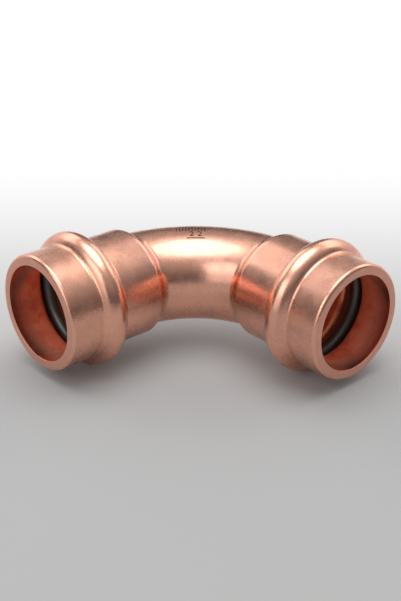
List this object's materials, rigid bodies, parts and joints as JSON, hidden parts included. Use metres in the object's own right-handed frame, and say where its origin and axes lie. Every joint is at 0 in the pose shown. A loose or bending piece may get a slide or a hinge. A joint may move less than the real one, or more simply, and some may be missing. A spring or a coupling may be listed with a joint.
{
  "type": "press fit pipe elbow",
  "caption": "Right-angle press elbow of formed copper tube: a socket at each end with a rounded bead that holds a rubber sealing ring behind the mouth.",
  "frame": {"origin": "middle of the box around the part, at its lowest point: straight below it, at the bottom of the beads", "axes": "+X along socket_a's axis out of its mouth, +Y along socket_b's axis out of its mouth, +Z square to the plane of the bend"},
  "size_m": [0.0652, 0.0652, 0.0314],
  "materials": {
    "copper": "bare formed copper, satin drawn surface",
    "seal_rubber": "smooth moulded black rubber"
  },
  "bodies": {
    "root": {"elbow_body": "copper", "seal_ring_a": "seal_rubber", "seal_ring_b": "seal_rubber"}
  },
  "joints": []
}
